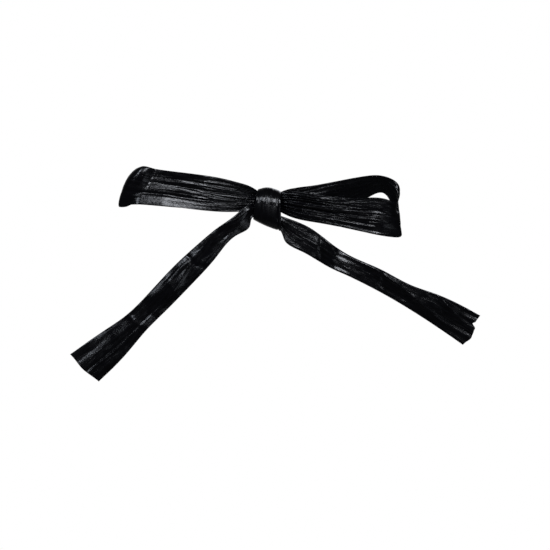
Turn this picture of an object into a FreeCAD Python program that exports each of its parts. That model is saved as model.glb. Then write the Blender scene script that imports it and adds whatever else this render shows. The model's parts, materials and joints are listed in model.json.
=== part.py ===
"""Ribbon hair bow on a single-prong alligator clip, in millimetres.

X runs along the loops, -Y is the side that faces the viewer and +Y the side that faces the head,
and +Z is up as the bow is worn. The origin is the middle of the clip's grip, behind the knot.
"""

import FreeCAD, Part
import math
import os
import re

import Sketcher

Vector = FreeCAD.Vector
Placement = FreeCAD.Placement
Rotation = FreeCAD.Rotation

DIMENSIONS = {
    # the clip, stamped from sheet: its plates, hinge and rivet
    "sheet_gauge": 0.6,
    "jaw_half": 3.75,
    "tip_reach": 26.3,
    "handle_reach": 20.5,
    "plate_in": 1.9,
    "corner_radius": 0.8,
    "hook_half": 2.4,
    "hook_stop": 0.5,
    "hook_gauge": 0.9,
    "hinge_along": 11.0,
    "hinge_out": 0.5,
    "root": 0.3,
    "ear_radius": 2.1,
    "lower_ear_half": 3.05,
    "pin_radius": 1.1,
    "pin_play": 0.06,
    "rivet_radius": 1.7,
    "rivet_head": 0.5,
    "rivet_slope": 0.4,
    "rivet_rim": 0.1,
    # the prong that swings
    "prong_in": 2.9,
    "prong_ramp": 4.2,
    "prong_stop": 0.0,
    "prong_foot": 1.2,
    "prong_foot_out": 1.5,
    "prong_bend_step": 0.2,
    "bead_half": 0.9,
    "bead_slope": 0.35,
    "bead_height": 0.3,
    "bead_margin": 2.5,
    "handle_angle": 30.0,
    "handle_length": 12.0,
    "handle_in": 2.4,
    "bend_radius": 0.5,
    "grip_end": 1.6,
    "grip_pitch": 1.4,
    "grip_width": 0.8,
    "grip_slope": 0.25,
    "grip_height": 0.25,
    "tooth_half": 0.5,
    "tooth_depth": 0.7,
    "tooth_pitch": 1.6,
    "cut_past": 0.5,
    "cut_under": 0.1,
    # the spring on the hinge
    "spring_wire": 0.35,
    "spring_radius": 2.0,
    "spring_half": 1.95,
    "spring_leg": 8.0,
    # what is glued to the upper jaw
    "lining_gauge": 0.3,
    "lining_half": 3.45,
    "lining_turn": 0.28,
    "lining_inner_end": 7.4,
    "glue_half": 8.6,
    "glue_tall": 3.2,
    "glue_gauge": 0.35,
    "glue_corner": 2.5,
    # the bow's middle
    "band_half": 6.6,
    "band_gauge": 0.8,
    "waist_half": 5.6,
    "waist_out": 6.85,
    "waist_drop": 0.3,
    "waist_deep": 3.0,
    "waist_tall": 4.1,
    "gather_high": 5.4,
    "gather_low_left": 6.5,
    "gather_low_right": 12.0,
    "gather_in": 5.6,
    "gather_out": 10.6,
    "gather_taper": 0.8,
    "thread_radius": 0.3,
    "thread_pitch": 0.8,
    "thread_gap": 0.02,
    "stitch_radius": 0.22,
    "stitch_length": 1.5,
    "stitch_pitch": 2.6,
    # the ribbon
    "ribbon_gauge": 0.8,
}
# how far from the hinge the handle's bend starts, so that the two flats' inner faces meet
DIMENSIONS["bend_run"] = round(
    DIMENSIONS["handle_in"] * math.tan(math.radians(DIMENSIONS["handle_angle"] / 2)), 9
)
THREAD_TURNS = 6
STITCHES = 5
STITCH_PLACE = 0.6
STITCH_GAP = 0.05
TEETH = 3
GRIPS = 3
SPRING_TURNS = 4

doc = FreeCAD.newDocument("hair_bow")
dims = doc.addObject("Spreadsheet::Sheet", "dims")
for row, (alias, value) in enumerate(DIMENSIONS.items(), start=1):
    dims.set(f"A{row}", alias)
    dims.set(f"B{row}", str(value))
    dims.setAlias(f"B{row}", alias)
doc.recompute()


def size(text):
    """The value of a sum of aliases and numbers, such as 'hinge_out + 2*ear_radius'."""
    total = 0.0
    for sign, term in re.findall(r"([+-]?)\s*([a-z_0-9.*]+)", str(text)):
        factors = [float(dims.get(f)) if f in DIMENSIONS else float(f) for f in term.split("*")]
        total += -math.prod(factors) if sign == "-" else math.prod(factors)
    return total


def bound(text):
    """The same sum as a FreeCAD expression on the sheet's cells."""
    return re.sub(r"[a-z_]+", lambda word: f"dims.{word[0]}", str(text))


def origin_plane(body, role):
    return next(f for f in body.Origin.OriginFeatures if f.Role == role)


def sketch_on(body, role, name, offset=None):
    """A sketch on one of the body's origin planes, moved along its normal by a bound offset."""
    sketch = body.newObject("Sketcher::SketchObject", name)
    sketch.AttachmentSupport = [(origin_plane(body, role), "")]
    sketch.MapMode = "FlatFace"
    if offset:
        sketch.setExpression("AttachmentOffset.Base.z", bound(offset))
    return sketch


def polygon(sketch, corners):
    """A closed outline whose every corner is tied to the sheet by its two coordinates."""
    points = [Vector(size(x), size(y), 0) for x, y in corners]
    count = len(points)
    for i in range(count):
        sketch.addGeometry(Part.LineSegment(points[i], points[(i + 1) % count]), False)
    for i in range(count):
        sketch.addConstraint(Sketcher.Constraint("Coincident", i, 2, (i + 1) % count, 1))
    for i, (x, y) in enumerate(corners):
        for kind, text in (("DistanceX", x), ("DistanceY", y)):
            place = sketch.addConstraint(Sketcher.Constraint(kind, -1, 1, i, 1, size(text)))
            sketch.setExpression(f"Constraints[{place}]", bound(text))
    return sketch


def circle(sketch, x, y, radius):
    """A circle whose centre and radius are tied to the sheet."""
    centre = Vector(size(x), size(y), 0)
    sketch.addGeometry(Part.Circle(centre, Vector(0, 0, 1), size(radius)), False)
    for kind, text in (("DistanceX", x), ("DistanceY", y)):
        place = sketch.addConstraint(Sketcher.Constraint(kind, -1, 1, 0, 3, size(text)))
        sketch.setExpression(f"Constraints[{place}]", bound(text))
    place = sketch.addConstraint(Sketcher.Constraint("Radius", 0, size(radius)))
    sketch.setExpression(f"Constraints[{place}]", bound(radius))
    return sketch


def pad(body, sketch, name, length, reverse=False, both=False):
    feature = body.newObject("PartDesign::Pad", name)
    feature.Profile = sketch
    feature.setExpression("Length", bound(length))
    feature.Reversed = reverse
    feature.Midplane = both
    return feature


def pocket(body, sketch, name, length, reverse=False, both=False):
    feature = body.newObject("PartDesign::Pocket", name)
    feature.Profile = sketch
    feature.setExpression("Length", bound(length))
    feature.Reversed = reverse
    feature.Midplane = both
    return feature


def mirrored(body, originals, name):
    """The same features on the other side of the XY plane."""
    feature = body.newObject("PartDesign::Mirrored", name)
    feature.Originals = originals
    feature.MirrorPlane = (origin_plane(body, "XY_Plane"), [""])
    body.Tip = feature
    return feature


def rounded(body, base, name, radius, wanted):
    """A fillet on the edges of base that the test picks."""
    doc.recompute()
    edges = [f"Edge{i}" for i, e in enumerate(base.Shape.Edges, start=1) if wanted(e)]
    feature = body.newObject("PartDesign::Fillet", name)
    feature.Base = (base, edges)
    feature.setExpression("Radius", bound(radius))
    body.Tip = feature
    return feature


def new_body(node):
    body = doc.addObject("PartDesign::Body", node)
    body.Label = node
    return body


def solid_node(node, shape):
    """A node whose shape is made with Part's own functions."""
    feature = doc.addObject("Part::Feature", node)
    feature.Label = node
    feature.Shape = shape
    return feature


def runs_along(edge, axis):
    """True if the edge is straight and parallel to the axis."""
    if len(edge.Vertexes) != 2 or not isinstance(edge.Curve, Part.Line):
        return False
    return edge.tangentAt(edge.FirstParameter).cross(axis).Length < 1e-6


X_AXIS, Y_AXIS, Z_AXIS = Vector(1, 0, 0), Vector(0, 1, 0), Vector(0, 0, 1)
PLATE_BACK = "-plate_in - sheet_gauge"
LINING_BACK = "-plate_in - sheet_gauge - lining_gauge"


def ear_pair(body, half, reach_from, reach_to):
    """Two hinge ears: a strap from a plate to the hinge with a round end, and its mirror."""
    strap = polygon(
        sketch_on(body, "XY_Plane", "ear_strap", f"{half} - sheet_gauge"),
        [
            ("hinge_along - ear_radius", reach_from),
            ("hinge_along + ear_radius", reach_from),
            ("hinge_along + ear_radius", reach_to),
            ("hinge_along - ear_radius", reach_to),
        ],
    )
    end = circle(
        sketch_on(body, "XY_Plane", "ear_end", f"{half} - sheet_gauge"),
        "hinge_along",
        "hinge_out",
        "ear_radius",
    )
    straps = pad(body, strap, "ear_strap_pad", "sheet_gauge")
    ends = pad(body, end, "ear_end_pad", "sheet_gauge")
    return mirrored(body, [straps, ends], "ears")


def upper_jaw():
    """The plate that the bow is glued to, with a hook at its tip and two outer ears."""
    body = new_body("clip_upper_jaw")
    plate = polygon(
        sketch_on(body, "XY_Plane", "side"),
        [
            ("-tip_reach", PLATE_BACK),
            ("handle_reach", PLATE_BACK),
            ("handle_reach", "-plate_in"),
            ("-tip_reach", "-plate_in"),
        ],
    )
    plate_pad = pad(body, plate, "plate", "2*jaw_half", both=True)
    body.Tip = plate_pad
    rounded(body, plate_pad, "plate_corners", "corner_radius", lambda e: runs_along(e, Y_AXIS))
    hook = polygon(
        sketch_on(body, "XY_Plane", "hook_side"),
        [
            ("-tip_reach", "-plate_in - root"),
            ("-tip_reach + hook_gauge", "-plate_in - root"),
            ("-tip_reach + hook_gauge", "-hook_stop"),
            ("-tip_reach", "-hook_stop"),
        ],
    )
    pad(body, hook, "hook", "2*hook_half", both=True)
    ear_pair(body, "jaw_half", "-plate_in - root", "hinge_out")
    bore = circle(
        sketch_on(body, "XY_Plane", "bore"), "hinge_along", "hinge_out", "pin_radius"
    )
    body.Tip = pocket(body, bore, "hinge_bore", "4*jaw_half", both=True)


def lower_prong():
    """The prong that swings, its squeeze handle, grips, stiffening bead, teeth and inner ears."""
    body = new_body("clip_lower_prong")
    arch = polygon(
        sketch_on(body, "XY_Plane", "side"),
        [
            ("-tip_reach", "prong_stop"),
            ("-tip_reach + sheet_gauge", "prong_stop"),
            ("-tip_reach + sheet_gauge", "prong_stop + prong_foot"),
            ("-tip_reach + prong_ramp", "prong_in"),
            ("hinge_along - bend_run", "prong_in"),
            ("hinge_along - bend_run", "prong_in + sheet_gauge"),
            ("-tip_reach + prong_ramp - prong_bend_step", "prong_in + sheet_gauge"),
            ("-tip_reach", "prong_stop + prong_foot_out"),
        ],
    )
    arch_pad = pad(body, arch, "arch", "2*jaw_half", both=True)
    body.Tip = arch_pad
    handle_sketch = polygon(
        handle_plane(body, "handle_side"),
        [
            ("bend_run", "handle_in"),
            ("handle_length", "handle_in"),
            ("handle_length", "handle_in + sheet_gauge"),
            ("bend_run", "handle_in + sheet_gauge"),
        ],
    )
    handle = pad(body, handle_sketch, "handle", "2*jaw_half", both=True)
    body.Tip = handle
    corners = rounded(body, handle, "handle_corners", "corner_radius", at_handle_corner)
    rounded(body, corners, "bends", "bend_radius", at_prong_bend)
    ear_pair(body, "lower_ear_half", "hinge_out", "prong_in + root")
    bore = circle(
        sketch_on(body, "XY_Plane", "bore"),
        "hinge_along",
        "hinge_out",
        "pin_radius + pin_play",
    )
    body.Tip = pocket(body, bore, "hinge_bore", "4*jaw_half", both=True)
    notch = polygon(
        sketch_on(body, "YZ_Plane", "tooth_notch", "-tip_reach - cut_past"),
        [
            ("prong_stop - cut_under", "-tooth_pitch - tooth_half"),
            ("prong_stop + tooth_depth", "-tooth_pitch"),
            ("prong_stop - cut_under", "-tooth_pitch + tooth_half"),
        ],
    )
    first = pocket(body, notch, "first_notch", "2*sheet_gauge + cut_past", reverse=True)
    pattern = body.newObject("PartDesign::LinearPattern", "notches")
    pattern.Originals = [first]
    pattern.Direction = (origin_plane(body, "Z_Axis"), [""])
    pattern.setExpression("Length", bound("2*tooth_pitch"))
    pattern.Occurrences = TEETH
    body.Tip = pattern
    stiffening_bead(body)
    grip_ridges(body)


def handle_plane(body, name):
    """A sketch in the side view, turned so that its x runs along the swinging handle."""
    sketch = sketch_on(body, "XY_Plane", name)
    sketch.AttachmentOffset = Placement(
        Vector(size("hinge_along"), size("hinge_out"), 0), Rotation(Z_AXIS, size("handle_angle"))
    )
    sketch.setExpression("AttachmentOffset.Base.x", bound("hinge_along"))
    sketch.setExpression("AttachmentOffset.Base.y", bound("hinge_out"))
    sketch.setExpression("AttachmentOffset.Rotation.Angle", bound("handle_angle"))
    return sketch


def stiffening_bead(body):
    """A pressed bead down the middle of the prong's outer face."""
    section = polygon(
        sketch_on(body, "YZ_Plane", "bead_section", "-tip_reach + prong_ramp + bead_margin"),
        [
            ("prong_in + root", "-bead_half"),
            ("prong_in + sheet_gauge", "-bead_half"),
            ("prong_in + sheet_gauge + bead_height", "-bead_half + bead_slope"),
            ("prong_in + sheet_gauge + bead_height", "bead_half - bead_slope"),
            ("prong_in + sheet_gauge", "bead_half"),
            ("prong_in + root", "bead_half"),
        ],
    )
    run = "tip_reach - prong_ramp + hinge_along - bend_run - 2*bead_margin"
    body.Tip = pad(body, section, "bead", run)


def grip_ridges(body):
    """Ridges across the swinging handle, where a thumb squeezes it."""
    for i in range(GRIPS):
        start = f"handle_length - grip_end - {i}*grip_pitch"
        ridge = polygon(
            handle_plane(body, f"grip_side_{i}"),
            [
                (start, "handle_in + root"),
                (f"{start} + grip_width", "handle_in + root"),
                (f"{start} + grip_width", "handle_in + sheet_gauge"),
                (f"{start} + grip_width - grip_slope", "handle_in + sheet_gauge + grip_height"),
                (f"{start} + grip_slope", "handle_in + sheet_gauge + grip_height"),
                (start, "handle_in + sheet_gauge"),
            ],
        )
        body.Tip = pad(body, ridge, f"grip_{i}", "2*jaw_half - 2*corner_radius", both=True)


def at_handle_corner(edge):
    """True for the two edges through the sheet at the swinging handle's free corners."""
    middle = edge.CenterOfMass
    at_end = middle.x > size("hinge_along + 0.6*handle_length")
    return at_end and abs(edge.Length - size("sheet_gauge")) < 1e-6


def at_prong_bend(edge):
    """True for the edges across the prong where its sheet is folded."""
    middle = edge.CenterOfMass
    folded = middle.y > size("prong_stop") + 1 and middle.x < size("hinge_along")
    return folded and runs_along(edge, Z_AXIS)


def hinge_pin():
    """A rivet: a shaft with a low head outside each outer ear."""
    body = new_body("hinge_pin")
    profile = sketch_on(body, "XZ_Plane", "half_section", "-hinge_out")
    polygon(
        profile,
        [
            ("hinge_along", "-jaw_half - rivet_head"),
            ("hinge_along + rivet_radius - rivet_slope", "-jaw_half - rivet_head"),
            ("hinge_along + rivet_radius", "-jaw_half - rivet_rim"),
            ("hinge_along + rivet_radius", "-jaw_half"),
            ("hinge_along + pin_radius", "-jaw_half"),
            ("hinge_along + pin_radius", "jaw_half"),
            ("hinge_along + rivet_radius", "jaw_half"),
            ("hinge_along + rivet_radius", "jaw_half + rivet_rim"),
            ("hinge_along + rivet_radius - rivet_slope", "jaw_half + rivet_head"),
            ("hinge_along", "jaw_half + rivet_head"),
        ],
    )
    turn = body.newObject("PartDesign::Revolution", "rivet")
    turn.Profile = profile
    turn.ReferenceAxis = (profile, ["Edge10"])
    turn.Angle = 360
    body.Tip = turn


def torsion_spring():
    """Wire wound round the hinge pin, with one leg along each handle."""
    radius, wire, half = size("spring_radius"), size("spring_wire"), size("spring_half")
    leg = size("spring_leg")
    hinge = Vector(size("hinge_along"), size("hinge_out"), 0)
    handle_angle = size("handle_angle")
    turns = SPRING_TURNS + (180 - handle_angle) / 360
    helix = Part.makeHelix(2 * half / turns, 2 * half, radius, 0, True)
    helix.Placement = Placement(hinge - Vector(0, 0, half), Rotation(Z_AXIS, -90))
    start = hinge - Vector(0, radius, half)
    finish = hinge + Rotation(Z_AXIS, 90 + handle_angle).multVec(X_AXIS * radius)
    finish.z = half
    profile = Part.Wire(Part.makeCircle(wire, start, X_AXIS))
    coil = Part.Wire(helix.Edges).makePipeShell([profile], True, True)
    legs = [
        Part.makeCylinder(wire, leg, start, X_AXIS),
        Part.makeCylinder(wire, leg, finish, Rotation(Z_AXIS, handle_angle).multVec(X_AXIS)),
    ]
    bends = [Part.makeSphere(wire, start), Part.makeSphere(wire, finish)]
    return solid_node("torsion_spring", coil.multiFuse(legs + bends).removeSplitter())


def clip_lining():
    """Ribbon glued over the upper jaw's face, round its tip and back along its inside."""
    body = new_body("clip_lining")
    profile = polygon(
        sketch_on(body, "XY_Plane", "side"),
        [
            ("handle_reach", LINING_BACK),
            ("-tip_reach - lining_gauge", LINING_BACK),
            ("-tip_reach - lining_gauge", "-hook_stop + lining_gauge"),
            ("-tip_reach + hook_gauge + lining_gauge", "-hook_stop + lining_gauge"),
            ("-tip_reach + hook_gauge + lining_gauge", "-plate_in + lining_gauge"),
            ("lining_inner_end", "-plate_in + lining_gauge"),
            ("lining_inner_end", "-plate_in"),
            ("-tip_reach + hook_gauge", "-plate_in"),
            ("-tip_reach + hook_gauge", "-hook_stop"),
            ("-tip_reach", "-hook_stop"),
            ("-tip_reach", PLATE_BACK),
            ("handle_reach", PLATE_BACK),
        ],
    )
    wrap = pad(body, profile, "wrap", "2*lining_half", both=True)
    body.Tip = wrap
    rounded(body, wrap, "tip_turn", "lining_turn", at_lining_turn)


def at_lining_turn(edge):
    """True for the two edges where the lining turns round the jaw's tip."""
    return edge.CenterOfMass.x < -size("tip_reach") - 0.1 and runs_along(edge, Z_AXIS)


def glue_pad():
    """The bead of hot glue, pressed flat, that holds the bow to the lining."""
    body = new_body("glue_pad")
    profile = polygon(
        sketch_on(body, "XY_Plane", "side"),
        [
            ("-glue_half", LINING_BACK),
            ("glue_half", LINING_BACK),
            ("glue_half", f"{LINING_BACK} - glue_gauge"),
            ("-glue_half", f"{LINING_BACK} - glue_gauge"),
        ],
    )
    bead = pad(body, profile, "bead", "2*glue_tall", both=True)
    body.Tip = bead
    rounded(body, bead, "bead_corners", "glue_corner", lambda e: runs_along(e, Y_AXIS))


# The knot band's section at its two sides, as (Y, Z). Each has a flat back behind the clip's jaw
# and three arcs: over the top, down the bulging front, and back under the ribbon tails.
BAND_LEFT = [
    (-0.8, -4.5), (-0.8, 4.5), (-3.6, 6.1), (-8.0, 6.5),
    (-12.9, 0.2), (-9.6, -7.6), (-4.6, -8.4),
]
BAND_RIGHT = [
    (-0.8, -4.7), (-0.8, 4.3), (-3.8, 5.0), (-7.6, 4.9),
    (-13.3, -3.6), (-9.6, -13.9), (-4.4, -12.2),
]


# how far inside the outer section's back corners the hollow's back corners are
BAND_BACK_LOW, BAND_BACK_HIGH = 0.6, 0.45


def band_edges(points):
    """The line and three arcs through a section's seven points."""
    back_low, back_high, over, front_high, front, front_low, under = points
    return [
        Part.LineSegment(back_low, back_high),
        Part.Arc(back_high, over, front_high),
        Part.Arc(front_high, front, front_low),
        Part.Arc(front_low, under, back_low),
    ]


def band_section(body, name, points, side):
    """A sketch of one section, on the YZ plane at the band's left or right side."""
    sketch = sketch_on(body, "YZ_Plane", name, f"{side}band_half")
    for edge in band_edges([Vector(y, z, 0) for y, z in points]):
        sketch.addGeometry(edge, False)
    return sketch


def shrunk(points, gauge):
    """The section's points moved inwards by the band's gauge."""
    count = len(points)
    middle_y = sum(y for y, _ in points) / count
    middle_z = sum(z for _, z in points) / count
    inner = []
    for y, z in points:
        away = math.hypot(y - middle_y, z - middle_z)
        share = gauge / away
        inner.append((y + (middle_y - y) * share, z + (middle_z - z) * share))
    back = -size("plate_in") + size("lining_gauge")
    inner[0] = (back, points[0][1] + BAND_BACK_LOW)
    inner[1] = (back, points[1][1] - BAND_BACK_HIGH)
    return inner


def knot_band():
    """The short ribbon wrapped over the bow's middle and round the clip's upper jaw."""
    body = new_body("knot_band")
    outer = body.newObject("PartDesign::AdditiveLoft", "wrap")
    outer.Profile = band_section(body, "outer_left", BAND_LEFT, "-")
    outer.Sections = [band_section(body, "outer_right", BAND_RIGHT, "")]
    doc.recompute()
    inner = body.newObject("PartDesign::SubtractiveLoft", "hollow")
    gauge = size("band_gauge")
    inner.Profile = band_section(body, "inner_left", shrunk(BAND_LEFT, gauge), "-")
    inner.Sections = [band_section(body, "inner_right", shrunk(BAND_RIGHT, gauge), "")]
    body.Tip = inner


def knot_stitches():
    """Thread stitches that close the band's overlap, in a row along its underside."""
    radius = size("stitch_radius")
    left, right = (
        band_edges([Vector(0, y, z) for y, z in points])[3].toShape()
        for points in (BAND_LEFT, BAND_RIGHT)
    )
    stitches = []
    for i in range(STITCHES):
        along = (i - (STITCHES - 1) / 2) * size("stitch_pitch")
        share = along / (2 * size("band_half")) + 0.5
        ends = []
        for place in (STITCH_PLACE, STITCH_PLACE + size("stitch_length") / left.Length):
            points = []
            for arc in (left, right):
                point = arc.valueAt(arc.FirstParameter * (1 - place) + arc.LastParameter * place)
                outward = (point - arc.Curve.Center).normalize()
                points.append(point + outward * (radius + STITCH_GAP))
            ends.append(points[0] * (1 - share) + points[1] * share + Vector(along, 0, 0))
        path = ends[1] - ends[0]
        stitch = Part.makeCylinder(radius, path.Length, ends[0], path)
        caps = [Part.makeSphere(radius, end) for end in ends]
        stitches.append(stitch.multiFuse(caps).removeSplitter())
    return solid_node("knot_stitches", Part.makeCompound(stitches))


def waist_outline(body, name, grow):
    """The pinched waist's oval outline on the YZ plane, larger all round by grow."""
    sketch = sketch_on(body, "YZ_Plane", name)
    middle = Vector(-size("waist_out"), -size("waist_drop"), 0)
    tall, deep = f"waist_tall + {grow}", f"waist_deep + {grow}"
    sketch.addGeometry(
        Part.Ellipse(middle + Vector(0, size(tall), 0), middle + Vector(size(deep), 0, 0), middle)
    )
    sketch.exposeInternalGeometry(0)
    for kind, text in (("DistanceX", "-waist_out"), ("DistanceY", "-waist_drop")):
        place = sketch.addConstraint(Sketcher.Constraint(kind, -1, 1, 0, 3, size(text)))
        sketch.setExpression(f"Constraints[{place}]", bound(text))
    sketch.addConstraint(Sketcher.Constraint("Vertical", 1))
    for axis, text in ((1, tall), (2, deep)):
        place = sketch.addConstraint(Sketcher.Constraint("Distance", axis, 2 * size(text)))
        sketch.setExpression(f"Constraints[{place}]", f"2*({bound(text)})")
    return sketch


def waist_gather():
    """The pinched middle of the loop ribbon."""
    body = new_body("waist_gather")
    outline = waist_outline(body, "outline", "0")
    body.Tip = pad(body, outline, "waist", "2*waist_half", both=True)


def waist_thread():
    """Turns of thread that bind the waist, each a ring of its own."""
    body = new_body("waist_thread")
    path = waist_outline(body, "path", "thread_radius + thread_gap")
    section = circle(
        sketch_on(body, "XY_Plane", "section", "-waist_drop"),
        "0",
        "-waist_out - waist_deep - thread_radius - thread_gap",
        "thread_radius",
    )
    ring = body.newObject("PartDesign::AdditivePipe", "ring")
    ring.Profile = section
    ring.Spine = (path, ["Edge1"])
    turns = body.newObject("PartDesign::LinearPattern", "turns")
    turns.Originals = [ring]
    turns.Direction = (origin_plane(body, "X_Axis"), [""])
    turns.setExpression("Length", bound(f"{THREAD_TURNS - 1}*thread_pitch"))
    turns.Occurrences = THREAD_TURNS
    body.Tip = turns
    body.setExpression("Placement.Base.x", bound(f"-{(THREAD_TURNS - 1) / 2}*thread_pitch"))


def tail_gather():
    """The pinched fold of the tail ribbon, under the waist and inside the knot band."""
    half, top = size("waist_half"), -size("gather_high")
    front, back, taper = -size("gather_out"), -size("gather_in"), size("gather_taper")

    def section(along, low):
        corners = [(front, top), (back, top), (back - taper, low), (front + taper, low)]
        return Part.makePolygon([Vector(along, y, z) for y, z in corners + corners[:1]])

    left = section(-half, -size("gather_low_left"))
    right = section(half, -size("gather_low_right"))
    return solid_node("tail_gather", Part.makeLoft([left, right], True, True))


def strip_face(curves, start, end):
    """The face over one stretch of two or three splines that share their knots.

    The first and last curves are its edges, and a middle one draws it outwards.
    """
    curves = [curve.copy() for curve in curves]
    for curve in curves:
        curve.segment(start, end)
    across = len(curves) - 1
    surface = Part.BSplineSurface()
    surface.buildFromPolesMultsKnots(
        [list(row) for row in zip(*(curve.getPoles() for curve in curves))],
        curves[0].getMultiplicities(),
        [across + 1, across + 1],
        curves[0].getKnots(),
        [0, 1],
        False,
        False,
        3,
        across,
    )
    return surface.toShape()


def ribbon_strip(stations, bulges=()):
    """A strip through (upper edge, lower edge) points, with smooth faces and square ends.

    bulges gives, by station, how far the strip's middle stands out past its edges.
    """
    bulges = dict(bulges)
    uppers = [Vector(*upper) for upper, _ in stations]
    lowers = [Vector(*lower) for _, lower in stations]
    centres = [(u + low) * 0.5 for u, low in zip(uppers, lowers)]
    last = len(stations) - 1
    half = size("ribbon_gauge") / 2
    along = [0.0]
    for here, ahead in zip(centres, centres[1:]):
        along.append(along[-1] + (ahead - here).Length)
    along = [place / along[-1] for place in along]
    # the section's corners from the upper edge round to the lower edge and back, and its middles
    lines = [[], [], [], [], [], []]
    for i, (upper, lower) in enumerate(zip(uppers, lowers)):
        ahead = centres[min(i + 1, last)] - centres[max(i - 1, 0)]
        normal = ahead.cross(upper - lower).normalize()
        edge, drawn = normal * half, normal * 2 * bulges.get(i, 0)
        ring = (
            upper + edge,
            upper - edge,
            centres[i] - edge + drawn,
            lower - edge,
            lower + edge,
            centres[i] + edge + drawn,
        )
        for line, point in zip(lines, ring):
            line.append(point)
    curves = []
    for line in lines:
        curve = Part.BSplineCurve()
        curve.interpolate(Points=line, Parameters=along)
        curves.append(curve)
    sides = ([0, 1], [1, 2, 3], [3, 4], [4, 5, 0])
    faces = []
    for start, end in zip(along, along[1:]):
        faces += [strip_face([curves[i] for i in side], start, end) for side in sides]
    for end in (0, -1):
        ring = [lines[i][end] for i in (0, 1, 3, 4)]
        faces.append(Part.Face(Part.makePolygon(ring + ring[:1])))
    shell = Part.makeShell(faces)
    shell.sewShape()
    return Part.makeSolid(shell)


# Each ribbon is a row of (upper edge, lower edge) points, from where it leaves the knot.
# A loop goes out along its back, round its fold, and in along its front.
LOOP_LEFT = [
    ((-7.3, -4.9, 5.0), (-7.3, -4.9, -4.4)),
    ((-20.0, -4.9, 8.5), (-20.0, -4.9, -4.6)),
    ((-38.0, -4.8, 12.6), (-40.0, -4.6, -3.4)),
    ((-53.0, -5.6, 15.6), (-60.0, -5.0, -1.8)),
    ((-59.0, -7.4, 16.8), (-70.5, -6.6, -1.9)),
    ((-61.2, -10.2, 17.0), (-74.0, -10.2, -2.8)),
    ((-59.6, -13.0, 17.0), (-71.0, -13.8, -2.2)),
    ((-54.0, -14.8, 15.6), (-62.0, -15.4, -1.7)),
    ((-38.0, -14.4, 13.5), (-40.0, -15.0, -3.9)),
    ((-20.0, -11.4, 10.2), (-20.0, -12.0, -5.5)),
    ((-7.3, -8.6, 6.3), (-7.3, -8.6, -4.6)),
]
LOOP_LEFT_BULGES = {4: 2.2, 5: 4.0, 6: 2.0}
LOOP_RIGHT = [
    ((7.3, -4.9, 5.0), (7.3, -4.9, -4.8)),
    ((20.0, -4.7, 7.5), (20.0, -5.0, -5.2)),
    ((36.0, -4.9, 10.3), (36.0, -4.8, -3.2)),
    ((49.0, -5.6, 12.6), (50.0, -5.4, 1.6)),
    ((57.0, -7.2, 12.9), (57.4, -7.4, 4.3)),
    ((63.0, -9.6, 10.9), (61.4, -10.0, -1.0)),
    ((66.6, -11.2, 4.6), (64.9, -11.6, -11.0)),
    ((64.0, -14.2, -0.8), (67.0, -13.0, -17.7)),
    ((60.5, -15.8, 0.2), (62.0, -15.4, -18.1)),
    ((46.0, -15.4, 1.3), (46.0, -15.6, -15.1)),
    ((25.0, -12.8, 3.2), (25.0, -13.0, -10.8)),
    ((7.3, -9.2, 4.4), (7.3, -9.2, -6.2)),
]
TAIL_LEFT = [
    ((-8.6, -12.2, -1.6), (-7.7, -11.6, -8.7)),
    ((-14.0, -12.8, -5.6), (-9.0, -12.0, -12.9)),
    ((-22.5, -12.0, -12.0), (-15.7, -11.2, -17.4)),
    ((-34.5, -10.0, -21.6), (-25.9, -9.6, -28.5)),
    ((-46.5, -8.2, -32.5), (-37.8, -8.8, -41.6)),
    ((-58.5, -7.4, -45.3), (-49.8, -6.8, -53.8)),
    ((-70.0, -5.6, -56.6), (-60.8, -6.4, -64.9)),
    ((-80.5, -4.8, -64.0), (-69.8, -5.2, -75.5)),
    ((-98.3, -5.6, -76.3), (-84.0, -4.6, -90.0)),
]
TAIL_RIGHT = [
    ((7.9, -9.6, -7.9), (7.5, -9.0, -15.2)),
    ((15.0, -9.2, -10.3), (9.8, -9.6, -19.9)),
    ((24.5, -8.2, -15.2), (18.4, -9.0, -25.5)),
    ((33.5, -8.2, -22.3), (29.0, -7.4, -31.9)),
    ((45.0, -7.0, -29.0), (40.6, -7.6, -37.3)),
    ((57.5, -6.6, -34.4), (53.0, -6.0, -43.5)),
    ((71.5, -5.6, -41.8), (66.0, -6.0, -50.6)),
    ((85.5, -5.0, -46.9), (79.0, -5.6, -58.6)),
    ((106.3, -5.8, -56.8), (98.0, -4.8, -71.8)),
]


def build_all():
    upper_jaw()
    lower_prong()
    hinge_pin()
    torsion_spring()
    clip_lining()
    glue_pad()
    knot_band()
    knot_stitches()
    waist_gather()
    waist_thread()
    tail_gather()
    solid_node("loop_left", ribbon_strip(LOOP_LEFT, LOOP_LEFT_BULGES))
    solid_node("loop_right", ribbon_strip(LOOP_RIGHT))
    solid_node("tail_left", ribbon_strip(TAIL_LEFT))
    solid_node("tail_right", ribbon_strip(TAIL_RIGHT))


def check_and_write():
    doc.recompute()
    broken = [o.Label for o in doc.Objects if {"Invalid", "Error"} & set(o.State)]
    if broken:
        raise RuntimeError(f"these objects failed: {broken}")
    os.makedirs("parts", exist_ok=True)
    written = [o for o in doc.Objects if o.TypeId in ("PartDesign::Body", "Part::Feature")]
    for node in written:
        shape = node.Shape
        if shape.isNull() or not shape.isValid() or shape.Volume <= 0:
            raise RuntimeError(f"{node.Label} has no valid solid")
    for node in written:
        node.Shape.exportStep(f"parts/{node.Label}.step")
        print(f"{node.Label:18s} {node.Shape.Volume:9.2f} mm3, {len(node.Shape.Solids)} solids")


build_all()
check_and_write()
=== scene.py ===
"""The looks of a black ribbon hair bow on an alligator clip.

The ribbons are grids of points in millimetres: u runs along a ribbon from the knot, and v across
it from -1, its lower edge, to 1, its upper edge. X runs along the loops, -Y faces the viewer.
"""

import json
import math

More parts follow.
